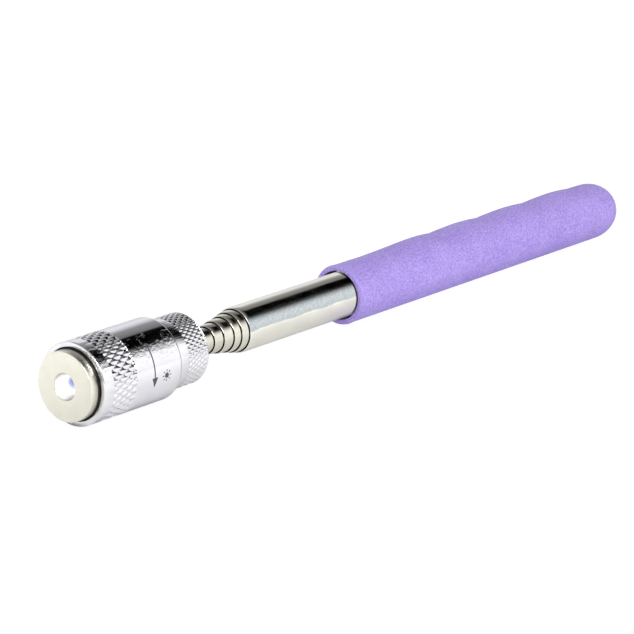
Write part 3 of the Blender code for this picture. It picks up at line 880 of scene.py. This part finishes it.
def make_world():
    """Studio round the tool: bright at both sides, dark overhead towards the grip.

    Overhead it grows paler towards the magnet, and one dark opening stands in front.
    """
    world = bpy.data.worlds.new("studio")
    world.use_nodes = True
    bpy.context.scene.world = world
    background = world.node_tree.nodes["Background"]
    direction = node(world, "ShaderNodeTexCoord")
    split = node(world, "ShaderNodeSeparateXYZ")
    link(world, direction.outputs["Generated"], split.inputs["Vector"])
    around = combine(world, "ARCTAN2", split.outputs["Z"], split.outputs["Y"])
    share = in_range(world, around, 0.0, math.pi, 0.0, 1.0)
    levels = [(0, 1.36), (20, 1.45), (34, 1.30), (45, 0.80), (54, 0.30), (61, 0.04), (70, 0.0), (101.5, 0.0),
              (104, 0.22), (117, 0.32), (129, 0.40), (141, 0.95), (153, 1.27), (165, 1.22), (177, 1.08)]
    stops = [(angle / 180.0, (level, level, level * 1.01)) for angle, level in levels]
    along = in_range(world, split.outputs["X"], -1.0, 1.0, 0.0, 1.0)
    glows = [(0.175, 0.0), (0.27, 0.24), (0.42, 0.40), (0.68, 0.36), (0.84, 0.75)]
    overhead = ramp(world, along, [(place, (glow, glow, glow)) for place, glow in glows])
    brightest = node(world, "ShaderNodeVectorMath", operation="MAXIMUM")
    link(world, ramp(world, share, stops), brightest.inputs[0])
    link(world, overhead, brightest.inputs[1])
    link(world, brightest.outputs["Vector"], background.inputs["Color"])
    opening_direction = (0.745, 0.606, 0.278)
    toward = node(world, "ShaderNodeVectorMath", operation="DOT_PRODUCT")
    toward.inputs[1].default_value = opening_direction
    link(world, direction.outputs["Generated"], toward.inputs[0])
    opening = in_range(world, toward.outputs["Value"], 0.83, 0.94, 1.0, 0.05)
    link(world, opening, background.inputs["Strength"])


def make_floor():
    """Pale floor that the camera sees evenly lit.

    The tool's metal mirrors it with a painted contact shadow, darker close by than farther out.
    """
    size = 6.0
    level = AXIS_Z - BARREL_RADIUS
    mesh = bpy.data.meshes.new("studio_floor")
    corners = [(-size, -size, level), (size, -size, level), (size, size, level), (-size, size, level)]
    mesh.from_pydata(corners, [], [(0, 1, 2, 3)])
    floor = bpy.data.objects.new("studio_floor", mesh)
    bpy.context.scene.collection.objects.link(floor)
    values = {"Base Color": (0.85, 0.85, 0.85, 1.0), "Roughness": 0.9, "Specular IOR Level": 0.0,
              "Emission Color": (1.0, 1.0, 1.0, 1.0)}
    material, shader = start_material("pale_floor", values)
    # Painted contact shadow: the glow that other rays see grows with the distance from the tool's axis
    apart = combine(material, "ABSOLUTE", object_place(material)["Y"], 0.0)
    share = in_range(material, apart, 0.0, 60.0 * MM, 0.0, 1.0)
    glows = [(0.10, 0.05), (0.16, 0.14), (0.30, 0.25), (0.55, 0.35), (0.85, 0.46)]
    stops = [(position, (level, level, level)) for position, level in glows]
    link(material, ramp(material, share, stops), shader.inputs["Emission Strength"])
    seen = node(material, "ShaderNodeBsdfDiffuse")
    seen.inputs["Color"].default_value = (0.16, 0.16, 0.16, 1.0)
    glow = node(material, "ShaderNodeEmission")
    glow.inputs["Strength"].default_value = 0.93
    both = node(material, "ShaderNodeAddShader")
    link(material, seen.outputs["BSDF"], both.inputs[0])
    link(material, glow.outputs["Emission"], both.inputs[1])
    path = node(material, "ShaderNodeLightPath")
    choice = node(material, "ShaderNodeMixShader")
    link(material, path.outputs["Is Camera Ray"], choice.inputs["Fac"])
    link(material, shader.outputs["BSDF"], choice.inputs[1])
    link(material, both.outputs["Shader"], choice.inputs[2])
    link(material, choice.outputs["Shader"], material.node_tree.nodes["Material Output"].inputs["Surface"])
    mesh.materials.append(material)


def make_light(name, place, target, size, power):
    data = bpy.data.lights.new(name, "AREA")
    data.size = size
    data.energy = power
    light = bpy.data.objects.new(name, data)
    light.location = place
    light.rotation_euler = (Vector(target) - Vector(place)).to_track_quat("-Z", "Y").to_euler()
    bpy.context.scene.collection.objects.link(light)


def make_camera():
    """Long lens, from the magnet's end and the side with the arrow, looking down."""
    yaw = math.radians(39.128)
    pitch = math.radians(16.1265)
    forward = Vector((-math.cos(pitch) * math.cos(yaw), -math.cos(pitch) * math.sin(yaw), -math.sin(pitch)))
    data = bpy.data.cameras.new("camera")
    data.sensor_width = 36.0
    data.lens = 174.9
    data.clip_start = 0.01
    data.clip_end = 50.0
    camera = bpy.data.objects.new("camera", data)
    camera.location = (RIM_X + 0.4578, 0.4402, AXIS_Z + 0.1981)
    camera.rotation_euler = forward.to_track_quat("-Z", "Y").to_euler()
    bpy.context.scene.collection.objects.link(camera)
    bpy.context.scene.camera = camera


make_camera()
bpy.context.scene.view_settings.view_transform = "Standard"
make_world()
make_floor()
make_light("key_light", (0.55, 0.75, 0.85), (-0.03, 0.0, 0.01), 0.7, 12.0)

chrome_wear = {"from": 28, "to": 48, "soft": 5, "ragged": 10, "size": 0.80 * MM, "depth": 0.11 * MM,
               "front_to": 64, "front_length": 3.0 * MM,
               "dull": (0.62, 0.62, 0.64), "pale": (0.80, 0.80, 0.82)}
nickel_wear = {"from": 9, "to": 41, "soft": 3, "ragged": 2, "size": 0.45 * MM, "depth": 0.006 * MM,
               "dull": (0.39, 0.43, 0.44), "pale": (0.47, 0.505, 0.515)}
chrome = plated_metal("head_chrome", (0.74, 0.74, 0.765), (0.66, 0.66, 0.69), (0.06, 0.16), chrome_wear)
cap_chrome = plated_metal("cap_chrome_plate", (0.74, 0.74, 0.76), (0.66, 0.66, 0.68), (0.07, 0.18))
tube_nickel = plated_metal("outer_nickel", (0.77, 0.76, 0.69), (0.69, 0.68, 0.61), (0.08, 0.20), nickel_wear)
section_nickel = plated_metal("section_nickel_plate", (0.66, 0.64, 0.57), (0.56, 0.54, 0.47), (0.10, 0.22))
magnet_nickel = plated_metal("satin_nickel", (0.765, 0.75, 0.655), (0.72, 0.705, 0.61), (0.26, 0.36))
cup_steel = plain_metal("cup_steel_blackened", (0.060, 0.056, 0.050), (0.030, 0.028, 0.026), (0.30, 0.45))

make_barrel(chrome)
make_cap(cap_chrome)
make_magnet(magnet_nickel, cup_steel, lit_lens())
make_tubes(tube_nickel, section_nickel)
make_grip(vinyl())
make_prints(ink())
finish_inner_parts()
